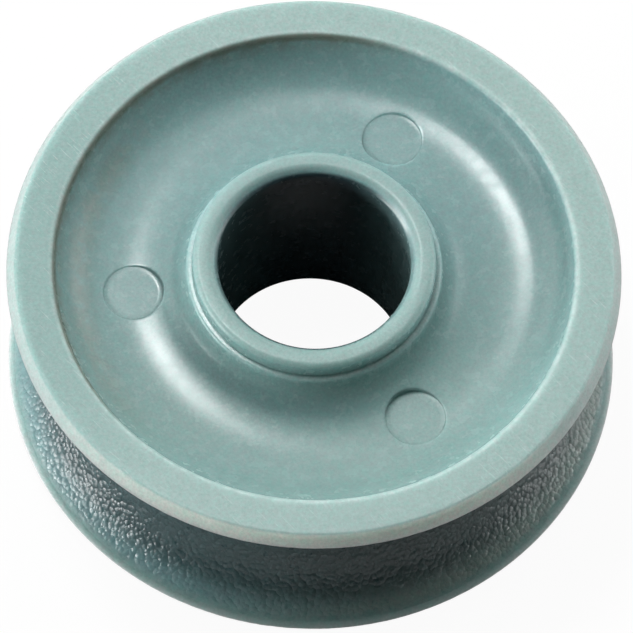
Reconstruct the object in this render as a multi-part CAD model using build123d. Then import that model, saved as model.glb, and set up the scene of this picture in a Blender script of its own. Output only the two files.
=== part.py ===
from build123d import *
from math import hypot, sqrt
import os

# A moulded rope sheave, one solid, turned about Z.
# Origin: on the bore axis, in the middle plane of the rope groove. Millimetres.

# ---- overall ------------------------------------------------------------
sheave_dia = 51.0        # across the flange tips
flange_width = 18.0      # rim face to rim face
hub_width = 20.0         # hub face to hub face, so each hub stands 1 mm proud

# ---- bore and hub -------------------------------------------------------
bore_dia = 16.0
bore_chamfer = 0.65      # 45 degrees, both ends
bore_mouth_round = 0.8   # where the chamfer meets the hub face
bore_edge_round = 0.3    # where the chamfer meets the bore
collar_dia = 20.2        # raised collar round the bore that takes the side thrust
collar_height = 1.45     # collar face down to the hub shoulder
collar_round = 0.55
shoulder_dia = 21.2      # hub shoulder just outside the collar
shoulder_round = 0.3

# ---- dished recess in each side, three arcs that run into each other --------
recess_depth = 3.4       # rim face down to the lowest ring of the dish
recess_dia = 43.3        # mouth of the recess
dish_dia = 31.6          # the lowest ring
dish_radius = 12.0       # middle arc
hub_bend = 3.0           # inner arc, from the dish up to the shoulder
rim_bend = 4.6           # outer arc, from the dish up to the rim
recess_round = 0.45      # soft edge at the recess mouth

# ---- flange tips --------------------------------------------------------
tip_bevel_width = 0.7    # radial width of the sloping land outside the rim face
tip_bevel_height = 1.23  # axial height of the same land, down to the groove edge
tip_round = 0.3          # where the rim face turns into the land

# ---- rope groove --------------------------------------------------------
groove_depth = 4.7       # flange tip to groove floor, on the radius
groove_land = 0.55       # narrow smooth lip inside each groove edge, radial
groove_land_rise = 0.2   # how far that lip dips towards the groove

# ---- ejector marks, on the upper side only ------------------------------
mark_count = 3
mark_dia = 5.0
mark_circle_dia = 30.0
mark_depth = 0.06        # below the lowest ring of the dish
mark_angle = 66.0        # first mark, from +X towards +Y

# ---- derived ------------------------------------------------------------
tip_r = sheave_dia / 2
rim_z = flange_width / 2
hub_z = hub_width / 2
bore_r = bore_dia / 2
chamfer_r = bore_r + bore_chamfer
collar_r = collar_dia / 2
shoulder_r = shoulder_dia / 2
shoulder_z = hub_z - collar_height
recess_r = recess_dia / 2
dish_r = dish_dia / 2
dish_z = rim_z - recess_depth
rim_face_r = tip_r - tip_bevel_width
groove_edge_z = rim_z - tip_bevel_height
groove_r = tip_r - groove_depth

# The groove is one circular arc from lip to lip, through the floor.
lip_r = tip_r - groove_land
lip_z = groove_edge_z - groove_land_rise
arc_depth = lip_r - groove_r
groove_radius = (lip_z**2 + arc_depth**2) / (2 * arc_depth)
groove_centre = (groove_r + groove_radius, 0)

# The dish turns about this point of the section.
dish_centre = (dish_r, dish_z + dish_radius)


def bend_centre(bend, end, side):
    """Centre of the arc that leaves the dish smoothly and climbs to this end; side 1 is the rim's."""
    across = end[0] - dish_centre[0]
    up = end[1] - dish_centre[1]
    reach = hypot(across, up)
    along = ((dish_radius - bend)**2 - bend**2 + reach**2) / (2 * reach)
    beside = -side * sqrt((dish_radius - bend)**2 - along**2)
    return (
        dish_centre[0] + (along * across - beside * up) / reach,
        dish_centre[1] + (along * up + beside * across) / reach,
    )


def on_dish(centre):
    """The point where the dish hands over to the bend with this centre."""
    across = centre[0] - dish_centre[0]
    up = centre[1] - dish_centre[1]
    share = dish_radius / hypot(across, up)
    return (dish_centre[0] + across * share, dish_centre[1] + up * share)


def arc_about(centre, start, end):
    """The shorter arc about this centre from one point to the other."""
    across = (start[0] + end[0]) / 2 - centre[0]
    up = (start[1] + end[1]) / 2 - centre[1]
    radius = hypot(start[0] - centre[0], start[1] - centre[1])
    share = radius / hypot(across, up)
    middle = (centre[0] + across * share, centre[1] + up * share)
    return ThreePointArc(start, middle, end)


def half_section():
    """Outline of the upper half of the section, from the bore out to the groove floor."""
    shoulder = (shoulder_r, shoulder_z)
    mouth = (recess_r, rim_z)
    lip = (lip_r, lip_z)
    hub_centre = bend_centre(hub_bend, shoulder, -1)
    rim_centre = bend_centre(rim_bend, mouth, 1)
    with BuildSketch(Plane.XZ) as sketch:
        with BuildLine():
            Polyline(
                (bore_r, 0),
                (bore_r, hub_z - bore_chamfer),
                (chamfer_r, hub_z),
                (collar_r, hub_z),
                (collar_r, shoulder_z),
                shoulder,
            )
            arc_about(hub_centre, shoulder, on_dish(hub_centre))
            arc_about(dish_centre, on_dish(hub_centre), on_dish(rim_centre))
            arc_about(rim_centre, on_dish(rim_centre), mouth)
            Polyline(mouth, (rim_face_r, rim_z), (tip_r, groove_edge_z), lip)
            arc_about(groove_centre, lip, (groove_r, 0))
            Line((groove_r, 0), (bore_r, 0))
        make_face()
    return sketch.sketch


def ring(body, radius, height):
    """The circular edge of this radius at this height, round Z."""
    return [
        edge
        for edge in body.edges().filter_by(GeomType.CIRCLE)
        if abs(edge.radius - radius) < 1e-4
        and abs(edge.arc_center.Z - height) < 1e-4
        and abs(edge.arc_center.X) < 1e-4
    ]


def ejector_marks():
    """Flat discs that the ejector pins left in the dish, cut down from above."""
    pin = Cylinder(
        mark_dia / 2,
        recess_depth + mark_depth,
        align=(Align.CENTER, Align.CENTER, Align.MIN),
    )
    places = PolarLocations(mark_circle_dia / 2, mark_count, start_angle=mark_angle)
    return [place * Pos(0, 0, dish_z - mark_depth) * pin for place in places]


def make_sheave():
    half = half_section()
    body = revolve(half + mirror(half, about=Plane.XY), axis=Axis.Z)
    for side in (1, -1):
        body = fillet(ring(body, chamfer_r, side * hub_z), bore_mouth_round)
        body = fillet(ring(body, bore_r, side * (hub_z - bore_chamfer)), bore_edge_round)
        body = fillet(ring(body, collar_r, side * hub_z), collar_round)
        body = fillet(ring(body, shoulder_r, side * shoulder_z), shoulder_round)
        body = fillet(ring(body, recess_r, side * rim_z), recess_round)
        body = fillet(ring(body, rim_face_r, side * rim_z), tip_round)
    for mark in ejector_marks():
        body = body - mark
    return body.solid()


sheave = make_sheave()
sheave.label = "sheave"

if __name__ == "__main__":
    os.makedirs("parts", exist_ok=True)
    export_step(sheave, "parts/sheave.step")
    print("valid", sheave.is_valid, "volume mm3", round(sheave.volume, 1))
    print("groove radius", round(groove_radius, 2))
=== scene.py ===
from math import asin, atan2, cos, degrees, hypot, pi, radians, sin, sqrt, tan
from types import SimpleNamespace

import bpy
import bmesh
from mathutils import Matrix, Vector, geometry, noise


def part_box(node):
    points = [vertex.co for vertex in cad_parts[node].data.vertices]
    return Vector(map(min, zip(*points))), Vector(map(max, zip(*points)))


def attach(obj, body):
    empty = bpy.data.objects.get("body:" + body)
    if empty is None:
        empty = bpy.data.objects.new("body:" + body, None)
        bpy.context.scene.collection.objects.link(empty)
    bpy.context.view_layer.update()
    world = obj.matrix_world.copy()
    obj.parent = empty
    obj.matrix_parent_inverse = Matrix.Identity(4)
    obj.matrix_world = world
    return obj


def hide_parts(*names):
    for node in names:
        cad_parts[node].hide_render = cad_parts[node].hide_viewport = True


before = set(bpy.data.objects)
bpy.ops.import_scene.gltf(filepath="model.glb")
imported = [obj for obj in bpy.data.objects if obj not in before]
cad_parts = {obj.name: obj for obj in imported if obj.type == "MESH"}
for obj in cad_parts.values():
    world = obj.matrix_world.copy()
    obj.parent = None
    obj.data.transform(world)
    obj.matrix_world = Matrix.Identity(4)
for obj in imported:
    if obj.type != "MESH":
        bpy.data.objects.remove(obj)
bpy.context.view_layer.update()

# A moulded plastic rope sheave on its side face, one piece, turned about Z.
# Lengths are in millimetres here and become metres when a mesh is made.
MM = 0.001

# ---- sizes that the CAD solid gives ---------------------------------------
low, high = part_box("sheave")
HUB_Z = high.z / MM
TIP_R = min(high.x, high.y) / MM

# ---- the section, as in the part's own drawing ------------------------------
BORE_R = 8.0
BORE_CHAMFER = 0.65
BORE_MOUTH_ROUND = 0.8
BORE_EDGE_ROUND = 0.3
COLLAR_R = 10.1
COLLAR_ROUND = 0.55
SHOULDER_R = 10.6
SHOULDER_Z = HUB_Z - 1.45
SHOULDER_ROUND = 0.3
COLLAR_FOOT_ROUND = 0.08
RIM_Z = HUB_Z - 1.0
WEB_Z = RIM_Z - 3.4
RECESS_R = 21.65
DISH_R = 15.8
DISH_BEND = 12.0
HUB_BEND = 3.0
RIM_BEND = 4.6
RECESS_ROUND = 0.45
RIM_FACE_R = TIP_R - 0.7
TIP_ROUND = 0.3
TIP_EDGE_Z = RIM_Z - 1.23
LIP_R = TIP_R - 0.55
LIP_Z = TIP_EDGE_Z - 0.2
GROOVE_FLOOR_R = TIP_R - 4.7
MARK_R = 2.5
MARK_CIRCLE_R = 15.0
MARK_Z = WEB_Z - 0.06
MARK_ANGLES = (66, 186, 306)

GROOVE_SAG = LIP_R - GROOVE_FLOOR_R
GROOVE_RADIUS = (LIP_Z**2 + GROOVE_SAG**2) / (2 * GROOVE_SAG)

# ---- how finely the mesh is cut ---------------------------------------------
COARSE = 160          # points round the sides
FAN = 5               # points round the groove for each of those
FINE = COARSE * FAN
GROOVE_ROWS = 88
BORE_ROWS = (0, 3, 6, 8)      # heights of the rows up the bore wall
WEB_PATCH = (11.9, 18.4)      # radii between which the web is cut freely round the marks
WEB_RINGS = 19
LOW_WEB_RINGS = 8

# Rings of points round a mark: distance outside its edge, or inside where negative,
# share of the way down its wall, and number of points.
MARK_RINGS = (
    (0.22, 0, 56),
    (0.06, 0, 72),
    (0.01, 0.1, 72),
    (-0.03, 0.9, 72),
    (-0.09, 1, 72),
    (-0.5, 1, 36),
    (-1.3, 1, 18),
)
MARK_MARGIN = 0.16    # clear ground outside the first of these rings

# ---- moulded grain of the groove and the ragged parting edge ------------------
GRAIN_BEAD = 0.75             # width of a bead
GRAIN_VALLEY = 0.03           # how far the valleys between beads go down
GRAIN_SWELL = 1.6             # width of the soft swell under the beads
GRAIN_SWELL_HEIGHT = 0.02
GRAIN_LIFT = 0.01             # brings the middle height back near the arc
GRAIN_FADE = 1.2              # the grain grows to its full height over this way from a lip
RAGGED = ((0.035, 0.9), (0.02, 0.35))   # height and width of the waves in the parting edge
EDGE_INSET = 0.012            # keeps the ragged edge inside the solid's box
EDGE_NIBBLE = 0.3             # how much of a wave also goes inward
EDGE_NOISE_Z = 9              # height above and below the middle at which its noise is read


# =============================================================================
# Section
# =============================================================================
def arc(centre, radius, start, end, steps):
    """Points of an arc in the section, angles in degrees from the +R axis."""
    r, z = centre
    angles = [radians(start + (end - start) * k / steps) for k in range(steps + 1)]
    return [(r + radius * cos(a), z + radius * sin(a)) for a in angles]


def line(start, end, steps):
    """Points of a straight run without its ends."""
    return [
        (start[0] + (end[0] - start[0]) * k / steps, start[1] + (end[1] - start[1]) * k / steps)
        for k in range(1, steps)
    ]


def rounded(before, corner, after, radius, steps):
    """Points of the round that stands in for the corner between two straight runs."""
    corner = Vector(corner)
    one = (Vector(before) - corner).normalized()
    two = (Vector(after) - corner).normalized()
    half = one.angle(two) / 2
    centre = corner + (one + two).normalized() * radius / sin(half)
    start, end = (corner + way * radius / tan(half) - centre for way in (one, two))
    ways = (start.lerp(end, k / steps).normalized() for k in range(steps + 1))
    return [tuple(centre + way * radius) for way in ways]


def bend_centre(radius, end_r, end_z, side):
    """Centre of the arc that leaves the dish smoothly and climbs to this point.

    Side is -1 for the hub's bend and 1 for the rim's.
    """
    across, up = end_r - DISH_R, end_z - DISH_CENTRE_Z
    reach = hypot(across, up)
    along = ((DISH_BEND - radius) ** 2 - radius**2 + reach**2) / (2 * reach)
    beside = -side * sqrt((DISH_BEND - radius) ** 2 - along**2)
    return (
        DISH_R + (along * across - beside * up) / reach,
        DISH_CENTRE_Z + (along * up + beside * across) / reach,
    )


DISH_CENTRE_Z = WEB_Z + DISH_BEND
HUB_CENTRE = bend_centre(HUB_BEND, SHOULDER_R, SHOULDER_Z, -1)
RIM_CENTRE = bend_centre(RIM_BEND, RECESS_R, RIM_Z, 1)


def dish_end(centre):
    """Radius at which the dish hands over to the bend with this centre."""
    across, up = centre[0] - DISH_R, centre[1] - DISH_CENTRE_Z
    return DISH_R + across * DISH_BEND / hypot(across, up)


HUB_BEND_END = dish_end(HUB_CENTRE)
RIM_BEND_END = dish_end(RIM_CENTRE)


def edge_fillet(bend, centre, level, size, side):
    """Centre of the round between a flat at this level and the bend, and its angle to the bend."""
    rise = centre[1] - (level - size)
    reach = bend + size
    middle = (centre[0] + side * sqrt(reach**2 - rise**2), level - size)
    return middle, degrees(asin(rise / reach))


def hub_rows():
    """Section of one side from the middle of the bore out to the start of the web patch."""
    edge = (BORE_R, HUB_Z - BORE_CHAMFER)
    mouth = (BORE_R + BORE_CHAMFER, HUB_Z)
    brim = (COLLAR_R, HUB_Z)
    foot = (COLLAR_R, SHOULDER_Z)
    rows = [(BORE_R, z) for z in BORE_ROWS]
    rows += rounded((BORE_R, 0), edge, mouth, BORE_EDGE_ROUND, steps=3)
    rows += rounded(edge, mouth, brim, BORE_MOUTH_ROUND, steps=5)
    rows += rounded(mouth, brim, foot, COLLAR_ROUND, steps=7)
    rows += line(rows[-1], foot, steps=3)
    rows += rounded(brim, foot, (SHOULDER_R, SHOULDER_Z), COLLAR_FOOT_ROUND, steps=3)
    centre, angle = edge_fillet(HUB_BEND, HUB_CENTRE, SHOULDER_Z, SHOULDER_ROUND, -1)
    rows += arc(centre, SHOULDER_ROUND, 90, angle, steps=5)
    end = -90 - degrees(asin((HUB_CENTRE[0] - WEB_PATCH[0]) / HUB_BEND))
    rows += arc(HUB_CENTRE, HUB_BEND, angle - 180, end, steps=6)[1:]
    return rows


def rim_rows():
    """Section of one side from the end of the web patch over the rim face to the bevel."""
    start = degrees(asin((WEB_PATCH[1] - RIM_CENTRE[0]) / RIM_BEND)) - 90
    centre, angle = edge_fillet(RIM_BEND, RIM_CENTRE, RIM_Z, RECESS_ROUND, 1)
    rows = arc(RIM_CENTRE, RIM_BEND, start, -angle, steps=8)
    rows += arc(centre, RECESS_ROUND, 180 - angle, 90, steps=6)[1:]
    tip = rounded(rows[-1], (RIM_FACE_R, RIM_Z), (TIP_R, TIP_EDGE_Z), TIP_ROUND, steps=4)
    return rows + line(rows[-1], tip[0], steps=5) + tip


def web_height(radius):
    """Height of the recess floor at this radius, between the shoulder and the recess wall."""
    if radius < HUB_BEND_END:
        (r, z), bend = HUB_CENTRE, HUB_BEND
    elif radius > RIM_BEND_END:
        (r, z), bend = RIM_CENTRE, RIM_BEND
    else:
        (r, z), bend = (DISH_R, DISH_CENTRE_Z), DISH_BEND
    return z - sqrt(bend**2 - (radius - r) ** 2)


# =============================================================================
# Mesh
# =============================================================================
class Body:
    """Vertices and faces of the sheave as they are gathered, with the edges that stay crisp."""

    def __init__(self):
        self.points = []
        self.faces = []
        self.crisp = set()

    def add(self, points):
        """Takes in points and gives back their numbers."""
        first = len(self.points)
        self.points.extend(points)
        return list(range(first, len(self.points)))

    def ring(self, radius, z, count):
        """A level ring of points about the axis."""
        turn = [2 * pi * k / count for k in range(count)]
        return self.add([(radius * cos(a), radius * sin(a), z) for a in turn])

    def band(self, one, two):
        """Quads between two rings of the same count, or a fan where the second has more points."""
        count = len(one)
        share = len(two) // count
        for k in range(count):
            after = (k + 1) % count
            run = [two[(k * share + j) % len(two)] for j in range(share + 1)]
            if share == 1:
                self.faces.append((one[k], one[after], run[1], run[0]))
                continue
            middle = share // 2
            for j in range(middle):
                self.faces.append((one[k], run[j + 1], run[j]))
            self.faces.append((one[k], one[after], run[middle]))
            for j in range(middle, share):
                self.faces.append((one[after], run[j + 1], run[j]))

    def crease(self, ring):
        """Keeps the edges of a closed ring crisp."""
        for k, a in enumerate(ring):
            b = ring[(k + 1) % len(ring)]
            self.crisp.add((min(a, b), max(a, b)))

    def revolve(self, rows, count):
        """Turns a run of the section about the axis and gives back its rings."""
        rings = [self.ring(r, z, count) for r, z in rows]
        for one, two in zip(rings, rings[1:]):
            self.band(one, two)
        return rings


def circle(centre, radius, count):
    """Points round a circle in plan."""
    turn = [2 * pi * k / count for k in range(count)]
    return [(centre[0] + radius * cos(a), centre[1] + radius * sin(a)) for a in turn]


def web_patch(body, inner, outer):
    """Upper web between two rings of the body, with the ejector marks sunk into it."""
    marks = [
        (MARK_CIRCLE_R * cos(radians(a)), MARK_CIRCLE_R * sin(radians(a))) for a in MARK_ANGLES
    ]
    flat, heights = [], []

    def put(points, level):
        """Adds points and their heights, and gives back the edges of the loop that they make."""
        first, count = len(flat), len(points)
        flat.extend(points)
        heights.extend(level(p) for p in points)
        return [(first + k, first + (k + 1) % count) for k in range(count)]

    # The body has the points of these two rings already, so they need no height here.
    edges = []
    for ring in (inner, outer):
        edges += put([body.points[k][:2] for k in ring], lambda p: None)
    gap = (WEB_PATCH[1] - WEB_PATCH[0]) / WEB_RINGS
    clear = MARK_R + MARK_RINGS[0][0] + MARK_MARGIN
    for k in range(1, WEB_RINGS):
        kept = [
            p
            for p in circle((0, 0), WEB_PATCH[0] + gap * k, COARSE)
            if all(hypot(p[0] - m[0], p[1] - m[1]) > clear for m in marks)
        ]
        put(kept, lambda p: web_height(hypot(*p)))
    for m in marks:
        for outside, share, count in MARK_RINGS:
            edges += put(
                circle(m, MARK_R + outside, count),
                lambda p: web_height(hypot(*p)) * (1 - share) + MARK_Z * share,
            )
        put([m], lambda p: MARK_Z)
    whole_hull = 0
    merge_within = 1e-7
    with_sources = True
    points, _, triangles, origin, _, _ = geometry.delaunay_2d_cdt(
        [Vector(p) for p in flat], edges, [], whole_hull, merge_within, with_sources
    )
    shared = dict(zip(range(len(inner)), inner))
    shared.update(zip(range(len(inner), len(inner) + len(outer)), outer))
    index = []
    for point, sources in zip(points, origin):
        source = sources[0]
        if source in shared:
            index.append(shared[source])
        else:
            index.append(body.add([(point.x, point.y, heights[source])])[0])
    step = 2 * pi / COARSE
    for triangle in triangles:
        middle = sum((points[k] for k in triangle), Vector((0, 0))) / 3
        off = atan2(middle.y, middle.x) % step - step / 2
        reach = middle.length * cos(off) / cos(step / 2)
        if WEB_PATCH[0] < reach < WEB_PATCH[1]:
            body.faces.append(tuple(index[k] for k in triangle))


def grain(point):
    """Height of the rough moulded grain, as beads that meet in sharp valleys."""
    bead = noise.voronoi(point / GRAIN_BEAD)[0][0]
    swell = noise.noise(point / GRAIN_SWELL)
    return GRAIN_LIFT - GRAIN_VALLEY * bead + GRAIN_SWELL_HEIGHT * swell


def groove_rows(body, upper):
    """The groove, with its grain, from the upper tip edge down; gives back its lowest row."""
    rows = []
    half = degrees(asin(LIP_Z / GROOVE_RADIUS))
    centre = (GROOVE_FLOOR_R + GROOVE_RADIUS, 0)
    for k in range(GROOVE_ROWS + 1):
        share = k / GROOVE_ROWS
        angle = radians(180 - half * (1 - 2 * share))
        from_lip = GROOVE_RADIUS * radians(half) * (1 - abs(2 * share - 1))
        depth = min(1, from_lip / GRAIN_FADE)
        ring = []
        for j in range(FINE):
            turn = 2 * pi * j / FINE
            r = centre[0] + GROOVE_RADIUS * cos(angle)
            z = GROOVE_RADIUS * sin(angle)
            spot = Vector((r * cos(turn), r * sin(turn), z))
            out = grain(spot) * depth
            r -= cos(angle) * out
            z -= sin(angle) * out
            ring.append((r * cos(turn), r * sin(turn), z))
        rows.append(body.add(ring))
    for one, two in zip([upper] + rows, rows):
        body.band(one, two)
    body.crease(rows[0])
    body.crease(rows[-1])
    return rows[-1]


def tip_edge(body, side):
    """Outer edge of a flange, a little ragged where the two halves of the mould met it."""
    ring = []
    for j in range(FINE):
        turn = 2 * pi * j / FINE
        spot = Vector((TIP_R * cos(turn), TIP_R * sin(turn), side * EDGE_NOISE_Z))
        ragged = sum(rise * noise.noise(spot / width) for rise, width in RAGGED)
        r = TIP_R - EDGE_INSET - EDGE_NIBBLE * abs(ragged)
        ring.append((r * cos(turn), r * sin(turn), side * (TIP_EDGE_Z + ragged)))
    return body.add(ring)


def sheave_mesh():
    """The whole closed skin: upper side, groove, lower side and bore."""
    body = Body()
    hub, rim = hub_rows(), rim_rows()
    top_hub = body.revolve(hub, COARSE)
    top_rim = body.revolve(rim, COARSE)
    web_patch(body, top_hub[-1], top_rim[0])
    top_edge = tip_edge(body, 1)
    body.band(top_rim[-1], top_edge)
    body.crease(top_edge)
    low_lip = groove_rows(body, top_edge)
    low_edge = tip_edge(body, -1)
    body.band(low_lip, low_edge)
    body.crease(low_edge)
    low_hub = body.revolve([(r, -z) for r, z in hub[1:]], COARSE)
    low_rim = body.revolve([(r, -z) for r, z in rim], COARSE)
    body.band(low_rim[-1], low_edge)
    start, end = WEB_PATCH
    web = [start + (end - start) * k / LOW_WEB_RINGS for k in range(1, LOW_WEB_RINGS)]
    low_web = body.revolve([(r, -web_height(r)) for r in web], COARSE)
    body.band(low_hub[-1], low_web[0])
    body.band(low_web[-1], low_rim[0])
    body.band(low_hub[0], top_hub[0])
    return body


def make_sheave():
    """The moulding as one object, smooth but for its crisp edges, in place of the CAD solid."""
    body = sheave_mesh()
    mesh = bpy.data.meshes.new("sheave_moulding")
    mesh.from_pydata([Vector(p) * MM for p in body.points], [], body.faces)
    work = bmesh.new()
    work.from_mesh(mesh)
    bmesh.ops.recalc_face_normals(work, faces=work.faces)
    for face in work.faces:
        face.smooth = True
    for edge in work.edges:
        pair = sorted(v.index for v in edge.verts)
        edge.smooth = tuple(pair) not in body.crisp
    work.to_mesh(mesh)
    work.free()
    piece = bpy.data.objects.new("sheave_moulding", mesh)
    bpy.context.scene.collection.objects.link(piece)
    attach(piece, "root")
    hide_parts("sheave")
    return piece


# =============================================================================
# Shader building
# =============================================================================
class Signal:
    """A shader socket that works in an expression: each operation adds its own Math node."""

    def __init__(self, nodes, socket):
        self.nodes = nodes
        self.socket = socket

    def __add__(self, other):
        return self.nodes.math("ADD", self, other)

    def __sub__(self, other):
        return self.nodes.math("SUBTRACT", self, other)

    def __rsub__(self, other):
        return self.nodes.math("SUBTRACT", other, self)

    def __mul__(self, other):
        return self.nodes.math("MULTIPLY", self, other)

    def __truediv__(self, other):
        return self.nodes.math("DIVIDE", self, other)

    def __pow__(self, other):
        return self.nodes.math("POWER", self, other)

    def __abs__(self):
        return self.nodes.math("ABSOLUTE", self)

    __radd__ = __add__
    __rmul__ = __mul__


class Nodes:
    """The node tree of one material or world."""

    def __init__(self, owner):
        owner.use_nodes = True
        self.tree = owner.node_tree
        self.tree.nodes.clear()

    def add(self, kind, settings=None, sockets=None, output=0):
        """Makes a node: its settings first, then the values or links of its sockets.

        Gives back the output that is asked for, or a list where a tuple of names asks for more.
        """
        node = self.tree.nodes.new(kind)
        for name, value in (settings or {}).items():
            setattr(node, name, value)
        for name, value in (sockets or {}).items():
            if isinstance(value, Signal):
                self.tree.links.new(value.socket, node.inputs[name])
            else:
                node.inputs[name].default_value = value
        if isinstance(output, tuple):
            return [Signal(self, node.outputs[name]) for name in output]
        return Signal(self, node.outputs[output]) if len(node.outputs) else node

    def math(self, operation, *values):
        return self.add("ShaderNodeMath", {"operation": operation}, dict(enumerate(values)))

    def scale(self, vector, factor):
        """A vector or a colour times a number."""
        sockets = {0: vector, "Scale": factor}
        return self.add("ShaderNodeVectorMath", {"operation": "SCALE"}, sockets)

    def noise(self, place, size, detail, rough):
        """Soft noise from 0 to 1 whose features are about this many millimetres across."""
        scaled = self.scale(place, 1 / (size * MM))
        sockets = {"Vector": scaled, "Scale": 1, "Detail": detail, "Roughness": rough}
        return self.add("ShaderNodeTexNoise", None, sockets)

    def step(self, value, start, end):
        """0 up to start, 1 from end on, smooth between; start may be the larger."""
        return self.add(
            "ShaderNodeMapRange",
            {"interpolation_type": "SMOOTHSTEP"},
            {"Value": value, "From Min": start, "From Max": end},
        )

    def near(self, value, middle, reach):
        """1 where the value is at the middle, falling to 0 at this reach either side."""
        return self.step(abs(value - middle), reach, 0)

    def mix(self, share, one, two, blend="MIX"):
        """The second colour laid over the first by this share."""
        return self.add(
            "ShaderNodeMix",
            {"data_type": "RGBA", "blend_type": blend},
            {"Factor": share, 6: one, 7: two},
            output=2,
        )


# =============================================================================
# Plastic
# =============================================================================
# ---- colours, linear -----------------------------------------------------------
RECESS_COOL = (0.222, 0.372, 0.378, 1)
RECESS_GREEN = (0.264, 0.402, 0.378, 1)
RIM_DULL = (0.235, 0.382, 0.361, 1)
RIM_PALE = (0.340, 0.476, 0.452, 1)
GROOVE_COOL = (0.180, 0.315, 0.325, 1)
GROOVE_WARM = (0.255, 0.335, 0.310, 1)
HUB_GREY = (0.270, 0.385, 0.355, 1)
# painted warm sheen
PAINTED_SHEEN_BEIGE = (0.260, 0.290, 0.250, 1)
SCRATCH_PALE = (0.60, 0.70, 0.68, 1)
# pale worn edges, partly a painted highlight
WORN_EDGE_AND_HIGHLIGHT = (0.52, 0.62, 0.60, 1)
BEVEL_PALE = (0.41, 0.51, 0.49, 1)
# painted light on the near edge of the upper flange
NEAR_EDGE_PAINTED_LIGHT = (0.70, 0.78, 0.71, 1)
# painted shade deep in the groove
GROOVE_PAINTED_SHADE = (0.025, 0.055, 0.060, 1)
# painted shade at the near foot of the hub
HUB_PAINTED_SHADE = (0.090, 0.175, 0.185, 1)
# painted shade on the far recess wall
WALL_PAINTED_SHADE = (0.190, 0.200, 0.155, 1)
# painted shade at the far recess mouth
MOUTH_PAINTED_SHADE = (0.130, 0.125, 0.085, 1)
# painted shadow round the ejector marks
MARK_PAINTED_SHADOW = (0.08, 0.13, 0.13, 1)
# painted shade in the bore
BORE_PAINTED_SHADE = (0.010, 0.022, 0.030, 1)
TINT_COOL = (0.92, 1.02, 1.0, 1)
TINT_WARM = (1.08, 0.98, 1.0, 1)

# ---- grain that is finer than the mesh, in mm -----------------------------------
FINE_BEAD = 0.40          # width of a bead in the groove
FINE_BEAD_HEIGHT = 0.068  # its height at the middle
FROST_HEIGHT = 0.003      # all over
RIM_FROST_HEIGHT = 0.009  # added to it on the rim
GROOVE_FROST_HEIGHT = 0.010
DIMPLE_HEIGHT = 0.006     # in the recess
TURNED_HEIGHT = 0.006     # turned lines of the hub face
RIPPLE_HEIGHT = 0.02      # wide and soft, all over
SCRATCH_DEPTH = 0.006
SCRATCH_ACROSS = 6        # features to a millimetre across the scratches
SCRATCH_ALONG = 0.4       # and along them
DIAGONAL = 0.7071
SCATTER = 2.0             # how far light spreads inside the plastic

# ---- where wear, painted light and painted shade lie, radii and heights in mm ---
GROOVE_SHADE_SETS_IN = (24.4, 22.6)      # radii between which painted shade sets in, deep in the groove
# painted warm sheen on the left of the recess, across the rim's bend
SHEEN_R, SHEEN_REACH = 19.6, 1.9
# painted shade at the foot of the hub, on the side that faces the camera
HUB_SHADE_R, HUB_SHADE_REACH = 12.2, 2.2
HUB_SHADE_WAY = (-0.34, -0.94)     # the painted shade lies on this side of the hub
MARK_SHADOW_REACH = 0.16
MARK_SHADOW_SETS_IN = (16.0, 13.5)  # the painted shadows round the marks show from here inward
UNDER_FLOOR = (4, 5)              # heights above the groove's wall and below the recess floor


def finish_zones(nodes, place, worn):
    """Where each finish lies, as masks from 0 to 1, with the point's own place in mm.

    The level is the height above or below the middle plane.
    """
    step, near = nodes.step, nodes.near
    axes = nodes.add("ShaderNodeSeparateXYZ", None, {0: place}, output=("X", "Y", "Z"))
    x, y, z = (axis / MM for axis in axes)
    radius = (x * x + y * y) ** 0.5
    level = abs(z)
    at = SimpleNamespace(x=x, y=y, z=z, radius=radius, level=level)

    from_rope = ((radius - (GROOVE_FLOOR_R + GROOVE_RADIUS)) ** 2 + level * level) ** 0.5
    at.groove = step(radius, LIP_R + 0.1, LIP_R - 0.7)
    at.groove = at.groove * step(from_rope, GROOVE_RADIUS + 0.7, GROOVE_RADIUS + 0.4)
    # painted shade deep in the groove, where little light reaches
    at.track = at.groove * step(radius, *GROOVE_SHADE_SETS_IN)
    at.bore = step(radius, BORE_R + 0.35, BORE_R + 0.1)
    at.hub = step(level, HUB_Z - 0.4, HUB_Z - 0.1)
    at.rim = step(radius, RECESS_R - 0.2, RECESS_R + 0.3)
    at.rim = at.rim * step(level, RIM_Z - 1.6, RIM_Z - 0.9)
    at.recess = step(radius, SHOULDER_R - 0.2, SHOULDER_R + 0.1)
    at.recess = at.recess * step(radius, RECESS_R, RECESS_R - 0.4)
    at.recess = at.recess * step(level, *UNDER_FLOOR)
    at.bevel = step(radius, RIM_FACE_R - 0.05, RIM_FACE_R + 0.15)
    at.bevel = at.bevel * step(level, TIP_EDGE_Z - 0.25, TIP_EDGE_Z)

    # the recess mouth and the hub's shoulder, paler where they are worn; this is partly a painted
    # highlight on their rounded edges
    mouth = near(radius, RECESS_R + 0.1, 0.45) * step(level, RIM_Z - 0.5, RIM_Z - 0.1)
    foot = near(radius, SHOULDER_R - 0.25, 0.3) * near(level, SHOULDER_Z, 0.3)
    at.edges = (mouth * 0.9 + foot * 0.4) * step(worn, 0.3, 0.65)
    at.scratch = scratches(nodes, at)
    return at


def scratches(nodes, at):
    """Long thin scratches that run across the wheel at 45 degrees."""
    across = (at.x + at.y) * DIAGONAL
    along = (at.x - at.y) * DIAGONAL
    drawn_out = nodes.add(
        "ShaderNodeCombineXYZ",
        None,
        {0: across * (SCRATCH_ACROSS * MM), 1: along * (SCRATCH_ALONG * MM), 2: at.z * MM},
    )
    return nodes.step(nodes.noise(drawn_out, size=1, detail=3, rough=0.6), 0.60, 0.70)


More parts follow.
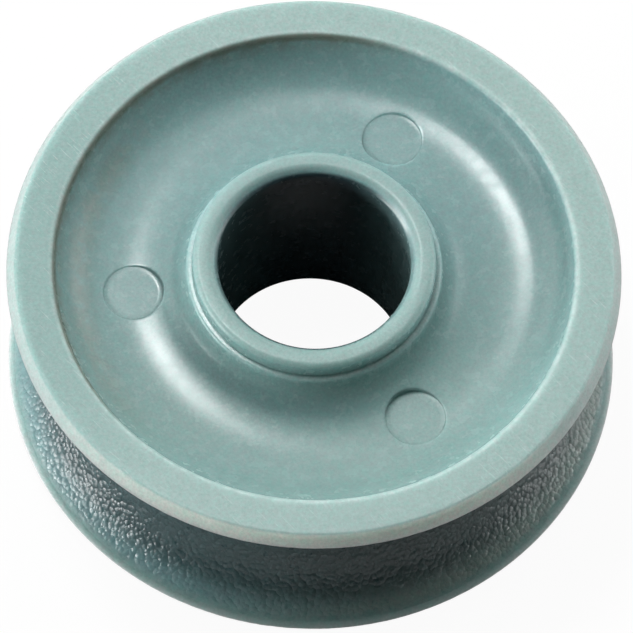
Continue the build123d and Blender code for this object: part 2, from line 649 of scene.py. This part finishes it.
def painted_light_and_shade(nodes, at, worn):
    """Shares and colours of painted light and shade, in the order they are laid on."""
    step, near = nodes.step, nodes.near
    # painted light: the near edge of the upper flange, which faces the camera, laid on pale
    near_edge_light = step(at.y, -12, -22) * step(at.z, 0, 1)
    near_edge_light = near_edge_light * (0.6 + 0.4 * worn) * (0.6 + 0.4 * step(at.x, -17, -6))

    # painted shade, brownish, on the far and left part of the recess wall below the mouth, and a
    # darker painted line right at the mouth
    upper_left = at.y * 0.6 - at.x
    wall_shade = near(at.radius, RECESS_R - 0.3, 0.7) * step(at.level, RIM_Z - 2.2, RIM_Z - 1.2)
    wall_shade = wall_shade * step(upper_left, 4, 16) * step(worn, 0.2, 0.7)
    mouth = near(at.radius, RECESS_R - 0.1, 0.40) * step(at.level, RIM_Z - 0.9, RIM_Z - 0.5)
    mouth = mouth * step(at.level, RIM_Z, RIM_Z - 0.12) * step(upper_left, 2, 12)

    # painted shade at the foot of the hub on its near side and in the bore, where less of it is
    # laid at both sides
    toward = at.x * HUB_SHADE_WAY[0] + at.y * HUB_SHADE_WAY[1]
    hub_foot_shade = near(at.radius, HUB_SHADE_R, HUB_SHADE_REACH) * step(toward, 6, 11)
    bore_shade = 0.92 - 0.52 * step(at.x, 2, 8) - 0.30 * step(at.x, -2, -8)
    return (
        (at.bevel * near_edge_light, NEAR_EDGE_PAINTED_LIGHT),
        (at.track * 0.78, GROOVE_PAINTED_SHADE),
        (hub_foot_shade * at.recess * 0.40, HUB_PAINTED_SHADE),
        (wall_shade * 0.6, WALL_PAINTED_SHADE),
        (mouth * 0.68, MOUTH_PAINTED_SHADE),
        (mark_painted_shadows(nodes, at) * 0.5, MARK_PAINTED_SHADOW),
        (at.bore * bore_shade, BORE_PAINTED_SHADE),
    )


def mark_painted_shadows(nodes, at):
    """Painted shadow: thin dark lines round the ejector marks, on the side towards the hub."""
    lines = 0
    for angle in MARK_ANGLES:
        aside = at.x - MARK_CIRCLE_R * cos(radians(angle))
        ahead = at.y - MARK_CIRCLE_R * sin(radians(angle))
        from_mark = (aside * aside + ahead * ahead) ** 0.5
        lines = lines + nodes.near(from_mark, MARK_R, MARK_SHADOW_REACH)
    return lines * nodes.step(at.z, *UNDER_FLOOR) * nodes.step(at.radius, *MARK_SHADOW_SETS_IN)


def plastic_colour(nodes, place, at, worn, cloud):
    """Colour of the plastic: finishes, worn places and painted sheen, then painted light and
    shade, then fine speckle.
    """
    broad = nodes.noise(place, size=9, detail=2, rough=0.55)
    blotch = nodes.noise(place, size=3.2, detail=3, rough=0.6)
    speck = nodes.noise(place, size=0.24, detail=2, rough=0.7)
    tint = nodes.noise(place, size=0.5, detail=3, rough=0.75)
    near_side = nodes.step(at.y, 12, -20)
    pale_side = nodes.step(at.x, -24, -10) * 0.7 + blotch * 0.3
    recess = nodes.mix(broad * 0.5 + near_side * 0.5, RECESS_COOL, RECESS_GREEN)
    rim = nodes.mix(pale_side, RIM_DULL, RIM_PALE)
    groove = nodes.mix(nodes.step(at.x, -15, 15), GROOVE_COOL, GROOVE_WARM)
    # painted warm sheen, in patches, on the left of the recess near the rim's bend
    painted_sheen = nodes.near(at.radius, SHEEN_R, SHEEN_REACH) * nodes.step(at.x, -12, -17)
    painted_sheen = painted_sheen * nodes.step(worn, 0.30, 0.55)
    layers = (
        (at.rim, rim),
        (at.hub * 0.42, HUB_GREY),
        (painted_sheen * 0.45, PAINTED_SHEEN_BEIGE),
        (at.rim * at.scratch * 0.35, SCRATCH_PALE),
        (at.groove, groove),
        (at.edges * 0.55, WORN_EDGE_AND_HIGHLIGHT),
        (at.bevel * 0.9, BEVEL_PALE),
    )
    colour = recess
    for share, layer in layers + painted_light_and_shade(nodes, at, worn):
        colour = nodes.mix(share, colour, layer)
    tinge = nodes.mix(nodes.step(tint, 0.3, 0.7), TINT_COOL, TINT_WARM)
    colour = nodes.mix(1.0, colour, tinge, blend="MULTIPLY")
    return nodes.scale(colour, 0.67 + 0.54 * speck + 0.12 * cloud)


def plastic_grain(nodes, place, at):
    """Bumps finer than the mesh, in mm: beads, frost, dimples, turned lines and scratches."""
    scaled = nodes.scale(place, 1 / (FINE_BEAD * MM))
    sockets = {"Vector": scaled, "Scale": 1}
    beads = nodes.add("ShaderNodeTexVoronoi", {"feature": "F1"}, sockets)
    frost = nodes.noise(place, size=0.24, detail=2, rough=0.6)
    dimple = nodes.noise(place, size=0.45, detail=1, rough=0.5)
    ripple = nodes.noise(place, size=4, detail=1, rough=0.4)
    outward = nodes.add("ShaderNodeCombineXYZ", None, {0: at.radius * MM})
    turned = nodes.noise(outward, size=0.22, detail=1, rough=0.5)
    height = at.groove * (1 - beads * beads) * FINE_BEAD_HEIGHT
    frosting = FROST_HEIGHT + RIM_FROST_HEIGHT * at.rim + GROOVE_FROST_HEIGHT * at.groove
    height = height + frost * frosting
    height = height + dimple * at.recess * DIMPLE_HEIGHT
    height = height + turned * at.hub * TURNED_HEIGHT
    height = height - at.scratch * at.rim * SCRATCH_DEPTH
    return height + ripple * RIPPLE_HEIGHT


def sheave_plastic():
    """Grey-green moulded plastic: satin in the recess, matt on the rim, beaded in the groove."""
    material = bpy.data.materials.new("sheave_plastic")
    nodes = Nodes(material)
    place = nodes.add("ShaderNodeTexCoord", output="Object")
    worn = nodes.noise(place, size=1.3, detail=3, rough=0.65)
    cloud = nodes.noise(place, size=1.1, detail=2, rough=0.6)
    at = finish_zones(nodes, place, worn)
    roughness = 0.26 + 0.24 * at.rim + 0.12 * at.hub + 0.14 * (cloud - 0.5) + 0.03 * at.groove
    grain = plastic_grain(nodes, place, at)
    bump = {"Strength": 1.0, "Distance": MM, "Height": grain}
    surface = nodes.add(
        "ShaderNodeBsdfPrincipled",
        None,
        {
            "Base Color": plastic_colour(nodes, place, at, worn, cloud),
            "Roughness": roughness,
            "Normal": nodes.add("ShaderNodeBump", None, bump),
            "IOR": 1.5,
            "Subsurface Weight": 1.0,
            "Subsurface Radius": (1, 1, 1),
            "Subsurface Scale": SCATTER * MM,
        },
    )
    nodes.add("ShaderNodeOutputMaterial", None, {"Surface": surface})
    return material


# =============================================================================
# Floor, light and camera
# =============================================================================
# Lengths are in metres from here on, but for the lens.
TABLE_REACH = 3.0             # half the width of the table
TABLE_BOUNCE = 0.3            # how pale the table is to scattered light
TABLE_LIT = 0.9               # how pale the share of it is that the lamps light
TABLE_BRIGHTENS = (0.028, 0.060)  # in reflections it goes from grey to white over these radii
TABLE_WHITE = 0.95            # share of plain white where it shows white, beside the lit one

SOFTBOX_DISTANCE = 0.60

# Name, direction from the sheave, width and height, and share of plain light that it gives.
SOFTBOXES = (
    ("key_softbox", (-0.225, 0.315, 0.92), (0.13, 0.13), 0.47),
    ("broad_softbox", (-0.20, 0.40, 0.88), (0.60, 0.60), 0.14),
    ("left_softbox", (-0.85, 0.20, 0.38), (0.65, 0.45), 0.26),
    ("right_softbox", (0.75, 0.45, 0.45), (0.35, 0.35), 0.15),
    ("left_strip", (-0.97, -0.22, 0.15), (0.34, 0.10), 0.68),
    ("right_strip", (1.0, 0.05, 0.06), (0.50, 0.09), 0.28),
)

WINDOW = (-0.10, 1.0, 0.10)   # direction of the brightest part of the room
WINDOW_FALLS = (-0.02, 0.5)   # cosines of the angle from there over which dark turns bright
WINDOW_LEVEL = 0.85

CAMERA_PLACE = (0, -0.34986, 0.68931)
CAMERA_LENS = 526.0           # focal length in mm on a 36 mm sensor
CAMERA_TILT = 26.89           # degrees from straight down
CAMERA_LEAN = 2.257           # turned about its own line of sight
CAMERA_SWING = -0.057         # turned about the vertical


def grey(level):
    """A grey of this level, or white at 1."""
    return (level, level, level, 1)


def white_table():
    """White to the camera, grey to scattered light, and in reflections grey only at the foot."""
    mesh = bpy.data.meshes.new("table")
    reach = TABLE_REACH
    corners = [(-reach, -reach), (reach, -reach), (reach, reach), (-reach, reach)]
    mesh.from_pydata([(x, y, low.z) for x, y in corners], [], [(0, 1, 2, 3)])
    table = bpy.data.objects.new("table", mesh)
    bpy.context.scene.collection.objects.link(table)
    material = bpy.data.materials.new("table_white")
    nodes = Nodes(material)
    place = nodes.add("ShaderNodeTexCoord", output="Object")
    from_axis = nodes.add(
        "ShaderNodeVectorMath", {"operation": "LENGTH"}, {0: place}, output="Value"
    )
    open_table = nodes.step(from_axis, *TABLE_BRIGHTENS)
    direct, glossy, clear = nodes.add(
        "ShaderNodeLightPath", output=("Is Camera Ray", "Is Glossy Ray", "Is Transmission Ray")
    )
    shown = nodes.math("MAXIMUM", direct, (glossy + clear) * open_table)
    bounce = nodes.add("ShaderNodeBsdfDiffuse", None, {"Color": grey(TABLE_BOUNCE)})
    lit = nodes.add("ShaderNodeBsdfDiffuse", None, {"Color": grey(TABLE_LIT)})
    white = nodes.add("ShaderNodeEmission", None, {"Color": grey(1), "Strength": 1.0})
    seen = nodes.add("ShaderNodeMixShader", None, {0: TABLE_WHITE, 1: lit, 2: white})
    surface = nodes.add("ShaderNodeMixShader", None, {0: shown, 1: bounce, 2: seen})
    nodes.add("ShaderNodeOutputMaterial", None, {"Surface": surface})
    mesh.materials.append(material)


def softbox(name, direction, size, level):
    """An area light aimed at the sheave.

    At level 1, a white surface that faces it renders plain white.
    """
    lamp = bpy.data.lights.new(name, "AREA")
    lamp.shape = "RECTANGLE"
    lamp.size, lamp.size_y = size
    lamp.energy = level * (pi * SOFTBOX_DISTANCE) ** 2
    holder = bpy.data.objects.new(name, lamp)
    holder.location = Vector(direction).normalized() * SOFTBOX_DISTANCE
    holder.rotation_euler = (-holder.location).to_track_quat("-Z", "Y").to_euler()
    holder.visible_camera = False
    bpy.context.scene.collection.objects.link(holder)


def room_light():
    """Pale room behind the sheave that falls away to dark in front, where the camera stands."""
    world = bpy.data.worlds.new("room")
    bpy.context.scene.world = world
    nodes = Nodes(world)
    way = nodes.add("ShaderNodeTexCoord", output="Generated")
    toward = nodes.add(
        "ShaderNodeVectorMath",
        {"operation": "DOT_PRODUCT"},
        {0: way, 1: Vector(WINDOW).normalized()},
        output="Value",
    )
    level = nodes.step(toward, *WINDOW_FALLS) * WINDOW_LEVEL
    room = nodes.add("ShaderNodeBackground", None, {"Color": grey(1), "Strength": level})
    nodes.add("ShaderNodeOutputWorld", None, {"Surface": room})


def camera():
    """A long lens in front of the sheave that looks down at it."""
    lens = bpy.data.cameras.new("camera")
    lens.sensor_width = 36
    lens.lens = CAMERA_LENS
    lens.clip_start, lens.clip_end = 0.01, 20
    eye = bpy.data.objects.new("camera", lens)
    eye.matrix_world = (
        Matrix.Translation(CAMERA_PLACE)
        @ Matrix.Rotation(radians(CAMERA_SWING), 4, "Z")
        @ Matrix.Rotation(radians(CAMERA_TILT), 4, "X")
        @ Matrix.Rotation(radians(CAMERA_LEAN), 4, "Z")
    )
    bpy.context.scene.collection.objects.link(eye)
    bpy.context.scene.camera = eye


sheave = make_sheave()
sheave.data.materials.append(sheave_plastic())
white_table()
room_light()
for box in SOFTBOXES:
    softbox(*box)
camera()
bpy.context.scene.view_settings.view_transform = "Standard"
